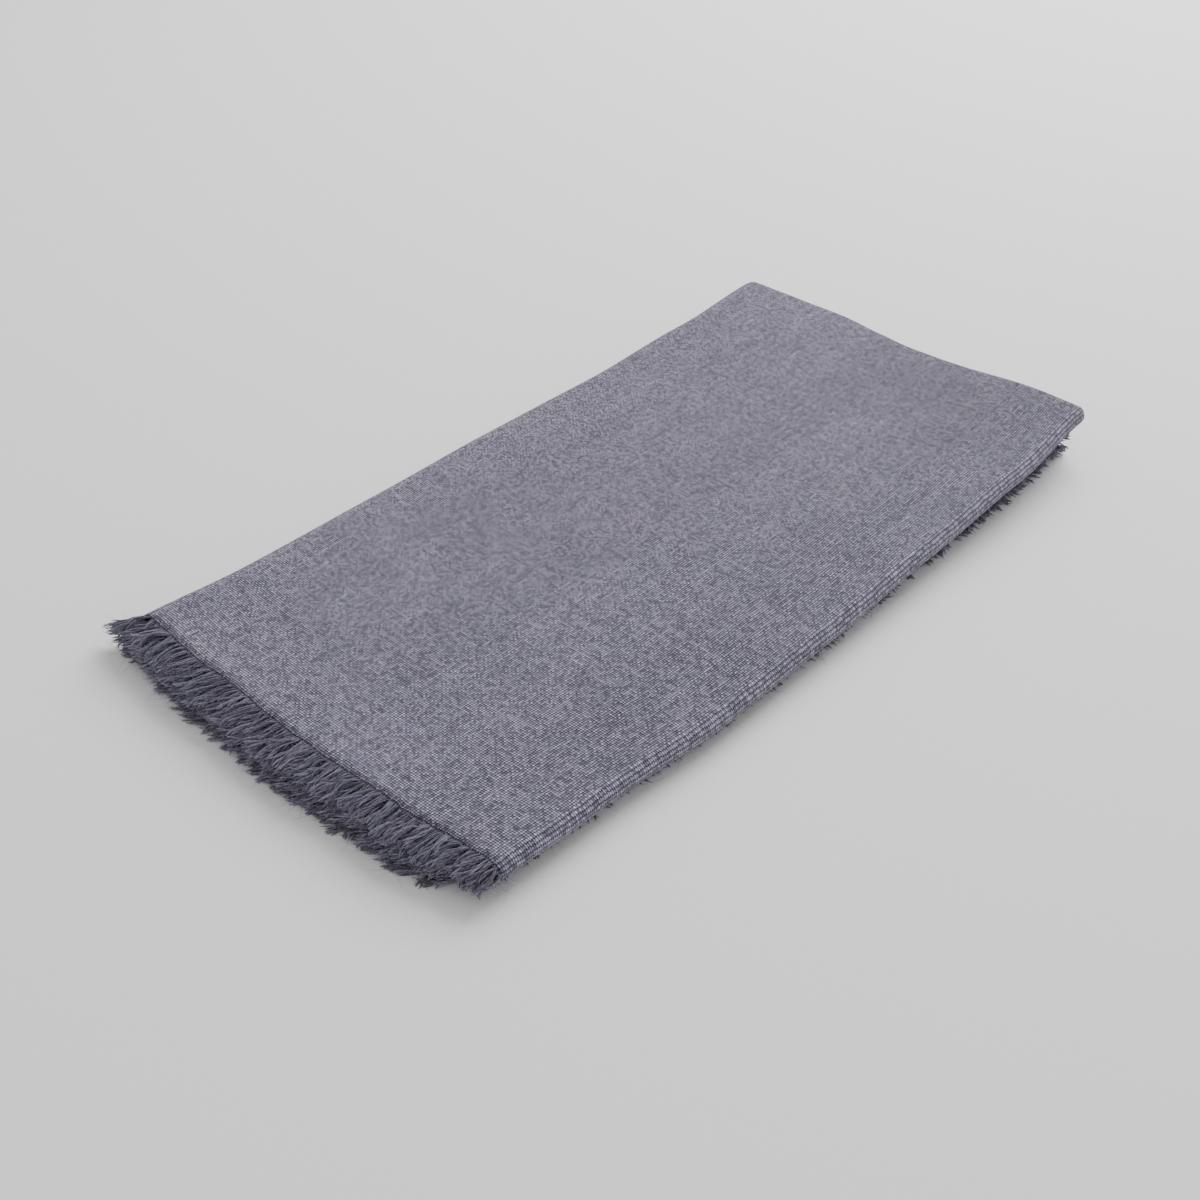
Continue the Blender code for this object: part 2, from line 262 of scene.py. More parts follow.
def placeOnCloth(across, down, away):
    # a point of the folded cloth, `away` from its middle along its own normal
    offset, y, plyNormal, endNormal = crosswiseFold(down)
    x, z, normalX, normalZ, turning = sectionCurve(across)
    offset = offset + away * plyNormal
    x = x + offset * normalX
    z = z + offset * normalZ
    y = y + away * endNormal
    z = z - (fold["solidLayer"] - fold["thickness"]) / 2
    z = z + layerRipple(across, down, x, y)
    y = y - layerStagger(across, down) * smooth(ramp(-y, stagger["from"], -fold["nearY"]))
    return layUneven(x, y, z)


def meshFromArrays(name, points, faces):
    # faces: list of arrays, each (count, corners)
    mesh = bpy.data.meshes.new(name)
    mesh.vertices.add(len(points))
    mesh.vertices.foreach_set("co", np.asarray(points, dtype=np.float32).ravel())
    corners = np.concatenate([face.ravel() for face in faces]).astype(np.int32)
    totals = np.concatenate([np.full(len(face), face.shape[1]) for face in faces]).astype(np.int32)
    starts = np.concatenate([[0], np.cumsum(totals)[:-1]]).astype(np.int32)
    mesh.loops.add(len(corners))
    mesh.loops.foreach_set("vertex_index", corners)
    mesh.polygons.add(len(totals))
    mesh.polygons.foreach_set("loop_start", starts)
    mesh.update(calc_edges=True)
    mesh.validate()
    mesh.shade_smooth()
    piece = bpy.data.objects.new(name, mesh)
    bpy.context.scene.collection.objects.link(piece)
    return piece, corners


def addPlaces(piece, corners, name, places):
    # a UV map that holds metres of flat cloth
    layer = piece.data.uv_layers.new(name=name)
    layer.data.foreach_set("uv", np.asarray(places, dtype=np.float32)[corners].ravel())


def addValue(piece, name, values):
    attribute = piece.data.attributes.new(name, "FLOAT", "POINT")
    attribute.data.foreach_set("value", np.asarray(values, dtype=np.float32))


# The frayed ends of the cloth waver a little.
edge = {"wave": 0.00035, "cell": 0.0021, "depth": 0.004}


def clothColumns():
    marks = []
    travelled = 0.0
    for part, count in zip(sectionParts(), fold["columns"]):
        share = np.arange(count) / count
        if count == max(fold["columns"]):
            share = share ** 1.25  # the top run: closer together at the rounded fold
        marks.append(travelled + part[0] * share)
        travelled += part[0]
    return np.append(np.concatenate(marks), travelled)


def clothRows():
    turn = math.pi * fold["bend"] / 2
    leg = np.linspace(-fold["halfDown"], -turn, fold["legRows"] + 1)
    bend = np.linspace(-turn, turn, fold["bendRows"] + 1)[1:-1]
    return np.concatenate([leg, bend, -leg[::-1]])


def makeCloth():
    columns, rows = clothColumns(), clothRows()
    across, down = np.meshgrid(columns, rows, indexing="ij")
    edgeWave = edge["wave"] * softNoise(across / edge["cell"], down * 0 + 3.5, 5)
    endShare = smooth(1 - (fold["halfDown"] - np.abs(down)) / edge["depth"])
    wavedDown = down + np.sign(down) * edgeWave * endShare
    points = []
    for side in (1, -1):
        away = np.full(across.shape, side * fold["thickness"] / 2)
        x, y, z = placeOnCloth(across.ravel(), wavedDown.ravel(), away.ravel())
        points.append(np.stack([x, y, z], axis=1))
    count = across.size
    index = np.arange(count).reshape(across.shape)
    quads = np.stack([index[:-1, :-1], index[1:, :-1], index[1:, 1:], index[:-1, 1:]], axis=-1)
    quads = quads.reshape(-1, 4)
    rim = np.concatenate([index[:-1, 0], index[-1, :-1], index[:0:-1, -1], index[0, :0:-1]])
    after = np.roll(rim, -1)
    band = np.stack([rim, rim + count, after + count, after], axis=1)
    piece, corners = meshFromArrays("linenCloth", np.concatenate(points),
                                    [quads, quads[:, ::-1] + count, band])
    places = np.stack([across.ravel(), down.ravel() + fold["halfDown"]], axis=1)
    addPlaces(piece, corners, "flatCloth", np.concatenate([places, places]))
    print("cloth:", len(piece.data.polygons), "faces")
    return piece


def tubePoints(paths, radii, sides):
    # paths (tubes, stations, 3), radii (tubes, stations)
    count, stations, _ = paths.shape
    tangent = np.gradient(paths, axis=1)
    tangent /= np.linalg.norm(tangent, axis=2, keepdims=True) + 1e-12
    first = np.cross(tangent[:, 0], np.array([0.31, 0.17, 0.93]))
    first /= np.linalg.norm(first, axis=1, keepdims=True)
    sideways = np.empty_like(tangent)
    for station in range(stations):  # carries the frame along without twist
        along = tangent[:, station]
        first = first - along * np.sum(first * along, axis=1, keepdims=True)
        first /= np.linalg.norm(first, axis=1, keepdims=True) + 1e-12
        sideways[:, station] = first
    up = np.cross(tangent, sideways)
    angle = 2 * math.pi * np.arange(sides) / sides
    ring = (sideways[:, :, None, :] * np.cos(angle)[:, None]
            + up[:, :, None, :] * np.sin(angle)[:, None])
    return paths[:, :, None, :] + ring * radii[:, :, None, None]


def makeTubes(name, paths, radii, sides, tones):
    count, stations, _ = paths.shape
    points = tubePoints(paths, radii, sides)
    index = np.arange(count * stations * sides).reshape(count, stations, sides)
    nextSide = np.roll(index, -1, axis=2)
    quads = np.stack([index[:, :-1], nextSide[:, :-1], nextSide[:, 1:], index[:, 1:]], axis=-1)
    caps = np.concatenate([index[:, 0, ::-1], index[:, -1]])
    piece, corners = meshFromArrays(name, points.reshape(-1, 3), [quads.reshape(-1, 4), caps])
    steps = np.linalg.norm(np.diff(paths, axis=1), axis=2)
    along = np.concatenate([np.zeros((count, 1)), np.cumsum(steps, axis=1)], axis=1)
    around = np.broadcast_to(np.arange(sides) / sides, (count, stations, sides))
    number = np.arange(count)[:, None, None]
    places = np.stack([around * 0.001 + number * 0.0013,
                       np.broadcast_to(along[:, :, None], around.shape)], axis=-1)
    addPlaces(piece, corners, "thread", places.reshape(-1, 2))
    addValue(piece, "threadTone", np.repeat(tones, stations * sides))
    share = np.broadcast_to(np.linspace(0, 1, stations)[None, :, None], around.shape)
    addValue(piece, "threadShare", share.ravel())
    print(name + ":", count, "threads,", len(piece.data.polygons), "faces")
    return piece


# The frayed edges: threads left where the ones along the edge were drawn out.
# gather is how far a thread leans to its tuft's middle, split how far its strands part at the tips,
# inside how far it starts inside the cloth and clump the way from one tuft to the next.
shortFringe = {
    "pitch": 0.00060,
    "inside": 0.0024,
    "length": (0.0056, 0.0080),
    "radius": 0.00021,
    "strands": 2,
    "split": 0.00026,
    "clump": 0.0026,
    "gather": 0.42,
    "wander": 0.0007,
    "curl": 0.0011,
    "sink": 0.0022,
    "sinkCurve": 3.2,
    "stations": 11,
    "sides": 4,
    "leanRight": 0.0016,  # towards the left side, at the right and the left end of the edge
    "leanLeft": 0.0042,
    "together": 0.00042,  # how far the two plies of a layer close up
    "fan": 0.0022,  # how far the threads spread at the layers' turns
    "innerFan": 0.35,
}
longFringe = {
    "pitch": 0.00056,
    "inside": 0.0014,
    "length": (0.0046, 0.0080),
    "radius": 0.00022,
    "strands": 2,
    "split": 0.00040,
    "clump": 0.0024,
    "gather": 0.34,
    "wander": 0.0009,
    "curl": 0.0016,
    "sink": 0.0004,
    "sinkCurve": 2.0,
    "stations": 9,
    "sides": 4,
    "liftShare": (0.85, 0.30),  # of the cloth's own lift, for the upper and the lower edge
}

# How single threads differ, for both fringes; pairs are the least and the most.
fray = {
    "rootJitter": 0.16,  # of the pitch
    "brokenShare": 0.10,
    "brokenLength": (0.55, 0.90),
    "lengthWave": 0.12,
    "waveCell": 0.011,
    "tuftJitter": 0.36,
    "tuftLean": 0.0011,
    "tuftRise": 0.0006,
    "tuftCurl": 0.70,
    "ownCurl": 0.55,
    "ownRise": 0.00035,
    "start": (0.35, 1.00),
    "curlPhase": (0.6, 1.4),
    "curlAlong": 0.70,
    "curlUp": 0.35,
    "drawIn": 0.10,  # how much shorter a leaning thread reaches
    "fall": (0.30, 1.35),
    "ride": 0.00020,  # height of the roots on the cloth
}
strand = {
    "turns": (4, 9),  # radians from root to tip
    "apart": 0.62,
    "split": (0.2, 2.0),
    "flat": 0.6,
    "radius": (0.72, 1.12),
    "swell": 0.30,
    "taper": 0.85,
}


def frayedThreads(look, roots, edgeLength, seed):
    # offsets along each thread: out of the cloth, along the edge, off its layer, and its fall
    chance = np.random.default_rng(seed)
    count = len(roots)
    share = np.linspace(0, 1, look["stations"])[None, :]
    length = chance.uniform(*look["length"], count)
    broken = chance.random(count) < fray["brokenShare"]
    length *= np.where(broken, chance.uniform(*fray["brokenLength"], count), 1.0)
    length *= 1 + fray["lengthWave"] * softNoise(roots / fray["waveCell"], roots * 0 + seed, seed)
    tufts = np.arange(-1, edgeLength / look["clump"] + 2)
    jitter = chance.uniform(-fray["tuftJitter"], fray["tuftJitter"], len(tufts))
    centres = (tufts + jitter) * look["clump"]
    nearest = np.abs(roots[:, None] - centres[None, :]).argmin(axis=1)
    lean = (centres[nearest] - roots) * look["gather"]
    tuftLean = chance.normal(0, fray["tuftLean"], len(tufts))[nearest]
    tuftRise = chance.normal(0, fray["tuftRise"], len(tufts))[nearest]
    tuftCurl = chance.normal(0, fray["tuftCurl"], len(tufts))[nearest]
    start = -look["inside"] * chance.uniform(*fray["start"], count)
    out = start[:, None] + (length - start)[:, None] * share
    free = np.clip(out / length[:, None], 0, 1)
    side = (lean + tuftLean)[:, None] * free ** 1.3
    side = side + look["wander"] * chance.normal(0, 1, count)[:, None] * free ** 1.6
    bend = look["curl"] * (chance.normal(0, fray["ownCurl"], count) + tuftCurl)
    phase = chance.uniform(*fray["curlPhase"], count)[:, None]
    side = side + bend[:, None] * np.sin(free * math.pi * phase) * fray["curlAlong"]
    rise = (tuftRise + chance.normal(0, fray["ownRise"], count))[:, None] * free ** 1.2
    upDown = (bend * chance.choice((-1, 1), count))[:, None]
    rise = rise + upDown * np.sin(free * math.pi) * fray["curlUp"]
    out = out - fray["drawIn"] * np.abs(side) - look["sink"] * 0.35 * free ** 3
    fall = look["sink"] * chance.uniform(*fray["fall"], count)[:, None] * free ** look["sinkCurve"]
    ride = fray["ride"] * (1 - smooth(free * 2.5))
    return out, side, rise + ride, fall, free


def strandPaths(look, paths, seed):
    # each thread as strands that lie together at the root and part towards the tip
    chance = np.random.default_rng(seed)
    count, stations, _ = paths.shape
    share = np.linspace(0, 1, stations)[None, :]
    firstAngle = chance.uniform(0, 2 * math.pi, count)[:, None]
    turn = firstAngle + share * chance.uniform(*strand["turns"], count)[:, None]
    split = look["split"] * share ** 1.8 * chance.uniform(*strand["split"], count)[:, None]
    apart = look["radius"] * strand["apart"] + split
    strands = []
    for number in range(look["strands"]):
        angle = turn + 2 * math.pi * number / look["strands"]
        sideways = strand["flat"] * np.cos(angle + 1.1) * apart
        shift = np.stack([np.cos(angle) * apart, sideways, np.sin(angle) * apart], axis=-1)
        strands.append(paths + shift)
    return np.concatenate(strands)


def strandRadii(look, count, stations, seed):
    # a thread is thickest where it frays near the tip, and ends thin
    chance = np.random.default_rng(seed)
    share = np.linspace(0, 1, stations)[None, :]
    radius = look["radius"] * chance.uniform(*strand["radius"], count)[:, None]
    shape = 0.86 + 0.22 * np.sin(math.pi * share * 1.1)
    tip = 1 + strand["swell"] * smooth((share - 0.6) / 0.25)
    tip = tip - strand["taper"] * smooth((share - 0.88) / 0.12)
    return radius * shape * tip


def makeStrands(name, look, paths, seed, toneChance):
    strands = strandPaths(look, paths, seed + 1)
    radii = strandRadii(look, len(strands), look["stations"], seed + 2)
    tones = np.tile(toneChance.random(len(paths)), look["strands"])
    return makeTubes(name, liftOffFloor(strands, radii), radii, look["sides"], tones)


def rootsAlong(look, length, chance):
    roots = np.arange(look["pitch"], length, look["pitch"])
    return roots + chance.normal(0, look["pitch"] * fray["rootJitter"], len(roots))


def liftOffFloor(paths, radii):
    paths[..., 2] = np.maximum(paths[..., 2], radii + 0.00002)
    return paths


def makeShortFringe(name, side, seed):
    look = shortFringe
    chance = np.random.default_rng(seed + 50)
    roots = rootsAlong(look, fold["across"], chance)
    out, sideways, rise, fall, free = frayedThreads(look, roots, fold["across"], seed)
    across = roots[:, None] + sideways
    down = side * (fold["halfDown"] + out)
    turning = sectionCurve(roots)[4][:, None]
    fan = turning * look["fan"] * free ** 1.4 * chance.uniform(0.1, 1.0, len(roots))[:, None]
    fan = fan * np.where(roots > fold["across"] * 0.6, 1.0, look["innerFan"])[:, None]
    outward = -side * np.sign(fan)  # the outside of the last turn is the ply's far face
    together = -look["together"] * side * smooth(free * 1.6)
    away = side * rise + fan * outward + side * together
    x, y, z = placeOnCloth(across.ravel(), down.ravel(), away.ravel())
    paths = np.stack([x, y, z], axis=1).reshape(len(roots), -1, 3)
    paths[..., 2] -= fall * np.clip(paths[..., 2] / fold["height"], 0.15, 1.0)
    leftward = np.interp(paths[:, :1, 0], (-fold["width"] / 2, fold["width"] / 2),
                         (look["leanLeft"], look["leanRight"]))
    paths[..., 0] -= leftward * chance.uniform(0.5, 1.5, len(roots))[:, None] * free ** 1.2
    return makeStrands(name, look, paths, seed, chance)


def makeLongFringe(name, end, seed):
    look = longFringe
    chance = np.random.default_rng(seed + 50)
    total = 2 * fold["halfDown"]
    roots = rootsAlong(look, total, chance)
    out, sideways, rise, fall, free = frayedThreads(look, roots, total, seed)
    down = roots[:, None] + sideways - fold["halfDown"]
    across = -out if end == 0 else fold["across"] + out
    x, y, z = placeOnCloth(across.ravel(), down.ravel(), rise.ravel())
    lift = readRows(sideRows, "along", "lift", y) * look["liftShare"][end]
    ownShare = chance.uniform(0.15, 1.1, len(roots)).repeat(free.shape[1])
    z = z + lift * free.ravel() ** 1.1 * ownShare
    paths = np.stack([x, y, z], axis=1).reshape(len(roots), -1, 3)
    paths[..., 2] -= fall
    return makeStrands(name, look, paths, seed, chance)


# The last thread along each frayed edge, loose in its weave.
edgeThread = {
    "outside": 0.0003,
    "radius": 0.00016,
    "wave": 0.00042,
    "height": (0.00016, 0.00012),  # the middle height and how far it goes to both sides
    "stations": 460,
    "sides": 5,
}


def makeEdgeThreads(name):
    look = edgeThread
    chance = np.random.default_rng(81)
    share = np.linspace(0.002, 0.998, look["stations"])
    rowsOfPaths = []
    tones = []
    for kind in ("short", "long"):
        for side in (-1, 1):
            place = share * 0 + look["outside"] * 9000
            out = look["outside"] + look["wave"] * softNoise(share * 170, place, 90 + side)
            waver = softNoise(share * 140, share * 0 + side, 95)
            height = look["height"][0] + look["height"][1] * waver
            if kind == "short":
                across = share * fold["across"]
                down = side * (fold["halfDown"] + out)
            else:
                down = (share * 2 - 1) * fold["halfDown"]
                across = -out if side < 0 else fold["across"] + out
            x, y, z = placeOnCloth(across, down, height * chance.choice((-1, 1)))
            rowsOfPaths.append(np.stack([x, y, z], axis=1))
            tones.append(chance.random())
    paths = np.array(rowsOfPaths)
    place = np.arange(look["stations"])[None, :] / 7.0 + np.arange(len(paths))[:, None] * 9.3
    radii = look["radius"] * (1 + 0.2 * softNoise(place, place * 0, 97))
    return makeTubes(name, liftOffFloor(paths, radii), radii, look["sides"], np.array(tones))


# Fine fibres that stand off the frayed threads and the folds.
fuzz = {
    "count": 7000,
    "spread": (1.0, 1.0, 0.8),
    "radius": 0.000028,
    "length": (0.0010, 0.0036),
    "bend": 0.55,
    "stations": 5,
    "sides": 3,
}
lint = {
    "count": 1500,
    "length": (0.0006, 0.0018),
    "atFold": 0.5,
    "foldSpread": 0.004,
    "slant": (0.15, 0.70),
    "wander": 0.6,
}


def makeFuzz(name, hosts, seed):
    # short bent fibres from the outer halves of the threads
    chance = np.random.default_rng(seed)
    starts = []
    for host in hosts:
        share = np.empty(len(host.data.vertices), dtype=np.float32)
        host.data.attributes["threadShare"].data.foreach_get("value", share)
        points = readPoints(host)[share > 0.5]
        starts.append(points[chance.integers(0, len(points), fuzz["count"] // len(hosts))])
    starts = np.concatenate(starts)
    number = len(starts)
    share = np.linspace(0, 1, fuzz["stations"])[None, :, None]
    way = chance.normal(0, 1, (number, 1, 3)) * np.array(fuzz["spread"])
    way /= np.linalg.norm(way, axis=2, keepdims=True)
    bend = chance.normal(0, fuzz["bend"], (number, 1, 3))
    length = chance.uniform(*fuzz["length"], number)[:, None, None]
    paths = starts[:, None, :] + length * (way * share + bend * share ** 2)
    radii = np.broadcast_to(fuzz["radius"] * (1.1 - 0.7 * share[..., 0]), paths.shape[:2]).copy()
    return makeTubes(name, liftOffFloor(paths, radii), radii, fuzz["sides"], chance.random(number))


def makeLint(name, seed):
    # fibres that stand off the woven face, half of them along the rounded fold
    count = lint["count"]
    chance = np.random.default_rng(seed)
    starts = np.cumsum([0] + [part[0] for part in sectionParts()])
    across = chance.uniform(starts[3] - 0.01, starts[6] + 0.01, count)
    atFold = chance.random(count) < lint["atFold"]
    across = np.where(atFold, starts[4] + chance.normal(-0.001, lint["foldSpread"], count), across)
    down = chance.uniform(-fold["halfDown"], 0, count)
    share = np.linspace(0, 1, fuzz["stations"])[None, :]
    reach = chance.uniform(*lint["length"], count)[:, None] * share
    away = -(fold["thickness"] / 2 + reach * chance.uniform(*lint["slant"], count)[:, None])
    across = across[:, None] + reach * chance.normal(0, lint["wander"], count)[:, None]
    down = down[:, None] + reach * chance.normal(0, lint["wander"], count)[:, None]
    x, y, z = placeOnCloth(across.ravel(), down.ravel(), away.ravel())
    paths = np.stack([x, y, z], axis=1).reshape(count, -1, 3)
    radii = np.broadcast_to(fuzz["radius"] * (1 - 0.6 * share), paths.shape[:2]).copy()
    return makeTubes(name, liftOffFloor(paths, radii), radii, fuzz["sides"], chance.random(count))


def readPoints(piece):
    points = np.empty(len(piece.data.vertices) * 3, dtype=np.float32)
    piece.data.vertices.foreach_get("co", points)
    return points.reshape(-1, 3)


def centreOnFrame(pieces):
    # the cloth comes first: it is set between the solid's long sides and against its far end
    cloth = readPoints(pieces[0])
    boxLow, boxHigh = (np.array(corner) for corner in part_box("napkin"))
    shift = (boxLow + boxHigh - cloth.min(axis=0) - cloth.max(axis=0)) / 2
    shift[1] = boxHigh[1] - cloth[:, 1].max()
    shift[2] = 0.0
    for piece in pieces:
        moved = (readPoints(piece) + shift).astype(np.float32)
        piece.data.vertices.foreach_set("co", moved.ravel())
        piece.data.update()


# Shader helpers
def link(tree, value, socket):
    if isinstance(value, bpy.types.NodeSocket):
        tree.links.new(value, socket)
    else:
        socket.default_value = value


def calc(tree, operation, *values):
    node = tree.nodes.new("ShaderNodeMath")
    node.operation = operation
    for socket, value in zip(node.inputs, values):
        link(tree, value, socket)
    return node.outputs[0]


def joinXyz(tree, x, y, z=0.0):
    node = tree.nodes.new("ShaderNodeCombineXYZ")
    for socket, value in zip(node.inputs, (x, y, z)):
        link(tree, value, socket)
    return node.outputs[0]


def splitXyz(tree, vector):
    node = tree.nodes.new("ShaderNodeSeparateXYZ")
    link(tree, vector, node.inputs[0])
    return node.outputs[0], node.outputs[1]


def noiseAt(tree, vector, scale, detail=2.0, roughness=0.5):
    node = tree.nodes.new("ShaderNodeTexNoise")
    link(tree, vector, node.inputs["Vector"])
    node.inputs["Scale"].default_value = scale
    node.inputs["Detail"].default_value = detail
    node.inputs["Roughness"].default_value = roughness
    return node.outputs[0]


def chanceAt(tree, vector):
    node = tree.nodes.new("ShaderNodeTexWhiteNoise")
    node.noise_dimensions = "3D"
    link(tree, vector, node.inputs["Vector"])
    return node.outputs["Value"]


def mapRange(tree, value, fromLow, fromHigh, toLow, toHigh, smoothly=False):
    node = tree.nodes.new("ShaderNodeMapRange")
    node.interpolation_type = "SMOOTHSTEP" if smoothly else "LINEAR"
    for socket, number in zip(node.inputs[:5], (value, fromLow, fromHigh, toLow, toHigh)):
        link(tree, number, socket)
    return node.outputs[0]


def mixColours(tree, share, first, second):
    node = tree.nodes.new("ShaderNodeMix")
    node.data_type = "RGBA"
    link(tree, share, node.inputs[0])
    link(tree, first, node.inputs[6])
    link(tree, second, node.inputs[7])
    return node.outputs[2]


def newGroup(name, inputs, outputs):
    group = bpy.data.node_groups.new(name, "ShaderNodeTree")
    for label, kind, value in inputs:
        socket = group.interface.new_socket(label, in_out="INPUT", socket_type=kind)
        if value is not None:
            socket.default_value = value
    for label, kind in outputs:
        group.interface.new_socket(label, in_out="OUTPUT", socket_type=kind)
    return group, group.nodes.new("NodeGroupInput"), group.nodes.new("NodeGroupOutput")


def useGroup(tree, group, **values):
    node = tree.nodes.new("ShaderNodeGroup")
    node.node_tree = group
    for label, value in values.items():
        link(tree, value, node.inputs[label])
    return node


linen = {
    "shade": (0.128, 0.119, 0.167, 1.0),  # the dye in its even state
    "warm": (0.151, 0.126, 0.162, 1.0),  # where it has taken less
    "across": 0.00066,  # thread pitches
    "down": 0.00062,
    "paintedGapShade": 0.02,  # painted shade: how light the holes of the weave stay
    # painted highlight: how much lighter the crowns of the threads are drawn
    "paintedCrownLight": 2.10,
    "columnShade": 1.10,  # the two thread systems against each other
    "rowShade": 0.92,
    "grain": (0.45, 1.62),  # from the darkest crossing to the lightest
    "relief": 0.00036,
    "pucker": 170.0,
}
# For each thread system: how far it wanders and how quickly, how often its yarn thickens, from where
# the thick stretches count, and how high they stand.
columnYarn = {"wander": 0.00042, "cell": 260.0, "often": 90.0, "thick": (0.66, 0.76), "rise": 0.22}
rowYarn = {"wander": 0.00036, "cell": 190.0, "often": 110.0, "thick": (0.64, 0.74), "rise": 0.26}


def dyeGroup():
    # the colour of the dyed linen: clouds, warm flecks and threads of their own shade
    group, start, end = newGroup(
        "linenDye",
        [("Place", "NodeSocketVector", None), ("Thread", "NodeSocketFloat", 1.0)],
        [("Color", "NodeSocketColor")],
    )
    place, thread = start.outputs["Place"], start.outputs["Thread"]
    clouds = noiseAt(group, place, 55.0, 3.0, 0.6)
    flecks = noiseAt(group, place, 420.0, 3.0, 0.65)
    warmth = calc(group, "MULTIPLY", mapRange(group, clouds, 0.48, 0.68, 0.0, 1.0, True),
                  mapRange(group, flecks, 0.45, 0.66, 0.1, 1.0, True))
    colour = mixColours(group, warmth, linen["shade"], linen["warm"])
    light = mapRange(group, clouds, 0.3, 0.7, 0.95, 1.05)
    light = calc(group, "MULTIPLY", light, mapRange(group, flecks, 0.3, 0.7, 0.92, 1.08))
    light = calc(group, "MULTIPLY", light, thread)
    group.links.new(scaleColour(group, colour, light), end.inputs["Color"])
    return group


def wanderBy(tree, value, noise, amount):
    return calc(tree, "MULTIPLY_ADD", calc(tree, "SUBTRACT", noise, 0.5), amount, value)


def threadHeight(tree, wave, over, side, along, yarn):
    # a round thread that goes over and under the others, and its thick stretches
    dome = calc(tree, "POWER", calc(tree, "ABSOLUTE", wave), 0.75)
    height = calc(tree, "MULTIPLY", dome, calc(tree, "MULTIPLY_ADD", over, side, 0.5))
    slub = mapRange(tree, along, *yarn["thick"], 0.0, 1.0, True)
    return calc(tree, "MULTIPLY_ADD", slub, yarn["rise"], height)


def threadShade(tree, number, own, along, shade):
    # lightness of a thread of its own, and of its thick and thin stretches
    chance = chanceAt(tree, joinXyz(tree, number, own))
    light = calc(tree, "MULTIPLY_ADD", chance, 0.38, calc(tree, "MULTIPLY", along, 0.5))
    return calc(tree, "MULTIPLY", calc(tree, "ADD", light, 0.56), shade)


def weaveGroup():
    # plain weave from flat places in metres: height of the threads, and which shade each has, with
    # painted shade in the holes and painted highlights on the crowns
    group, start, end = newGroup(
        "plainWeave",
        [("Place", "NodeSocketVector", None)],
        [("Height", "NodeSocketFloat"), ("Thread", "NodeSocketFloat")],
    )
    place = start.outputs["Place"]
    u, v = splitXyz(group, place)
    wobble = noiseAt(group, place, columnYarn["cell"], 2.0)
    drift = noiseAt(group, joinXyz(group, v, u), rowYarn["cell"], 2.0)
    u = wanderBy(group, u, wobble, columnYarn["wander"])
    v = wanderBy(group, v, drift, rowYarn["wander"])
    column = calc(group, "DIVIDE", u, linen["across"])
    row = calc(group, "DIVIDE", v, linen["down"])
    columnNumber, rowNumber = calc(group, "FLOOR", column), calc(group, "FLOOR", row)
    waveAcross = calc(group, "SINE", calc(group, "MULTIPLY", column, math.pi))
    waveDown = calc(group, "SINE", calc(group, "MULTIPLY", row, math.pi))
    over = calc(group, "MULTIPLY", waveAcross, waveDown)
    columnPlace = joinXyz(group, calc(group, "MULTIPLY", columnNumber, 7.31),
                          calc(group, "MULTIPLY", v, columnYarn["often"]))
    rowPlace = joinXyz(group, calc(group, "MULTIPLY", u, rowYarn["often"]),
                       calc(group, "MULTIPLY", rowNumber, 5.17), 4.0)
    alongColumn = noiseAt(group, columnPlace, 1.0, 2.0)
    alongRow = noiseAt(group, rowPlace, 1.0, 2.0)
    highColumn = threadHeight(group, waveAcross, over, 0.5, alongColumn, columnYarn)
    highRow = threadHeight(group, waveDown, over, -0.5, alongRow, rowYarn)
    height = calc(group, "MAXIMUM", highColumn, highRow)
    ahead = calc(group, "SUBTRACT", highColumn, highRow)
    columnOnTop = mapRange(group, ahead, -0.12, 0.12, 0.0, 1.0)
    shadeColumn = threadShade(group, columnNumber, 3.0, alongColumn, linen["columnShade"])
    shadeRow = threadShade(group, rowNumber, 11.0, alongRow, linen["rowShade"])
    difference = calc(group, "SUBTRACT", shadeColumn, shadeRow)
    thread = calc(group, "MULTIPLY_ADD", columnOnTop, difference, shadeRow)
    crossing = chanceAt(group, joinXyz(group, columnNumber, rowNumber, 5.0))
    thread = calc(group, "MULTIPLY", thread, mapRange(group, crossing, 0.0, 1.0, *linen["grain"]))
    # painted shade in the holes of the weave and a painted highlight on the thread crowns, by thread
    # height
    paintedGapShadeAndCrownLight = mapRange(group, height, 0.16, 0.80, linen["paintedGapShade"], linen["paintedCrownLight"], True)
    thread = calc(group, "MULTIPLY", thread, paintedGapShadeAndCrownLight)
    group.links.new(height, end.inputs["Height"])
    group.links.new(thread, end.inputs["Thread"])
    return group


def newMaterial(name):
    material = bpy.data.materials.new(name)
    material.use_nodes = True
    tree = material.node_tree
    return material, tree, tree.nodes["Principled BSDF"]


def scaleColour(tree, colour, factor):
    node = tree.nodes.new("ShaderNodeVectorMath")
    node.operation = "SCALE"
    link(tree, colour, node.inputs[0])
    link(tree, factor, node.inputs["Scale"])
    return node.outputs[0]


def addBump(tree, shader, height, distance, strength=1.0):
    bump = tree.nodes.new("ShaderNodeBump")
    bump.inputs["Strength"].default_value = strength
    bump.inputs["Distance"].default_value = distance
    tree.links.new(height, bump.inputs["Height"])
    tree.links.new(bump.outputs["Normal"], shader.inputs["Normal"])


def softFinish(shader, roughness, sheen):
    shader.inputs["Roughness"].default_value = roughness
    shader.inputs["Specular IOR Level"].default_value = 0.25
    shader.inputs["Sheen Weight"].default_value = sheen
    shader.inputs["Sheen Roughness"].default_value = 0.45


# Dark knots in the yarn of the top face: place on the folded napkin, length across and width.
nubs = (
    {"at": (0.032, -0.013), "size": (0.0017, 0.0006), "shade": 0.30},
    {"at": (0.046, 0.020), "size": (0.0015, 0.0005), "shade": 0.40},
    {"at": (0.012, 0.012), "size": (0.0013, 0.0005), "shade": 0.45},
    {"at": (-0.022, -0.052), "size": (0.0011, 0.0005), "shade": 0.55},
    {"at": (0.020, 0.078), "size": (0.0012, 0.0005), "shade": 0.55},
)
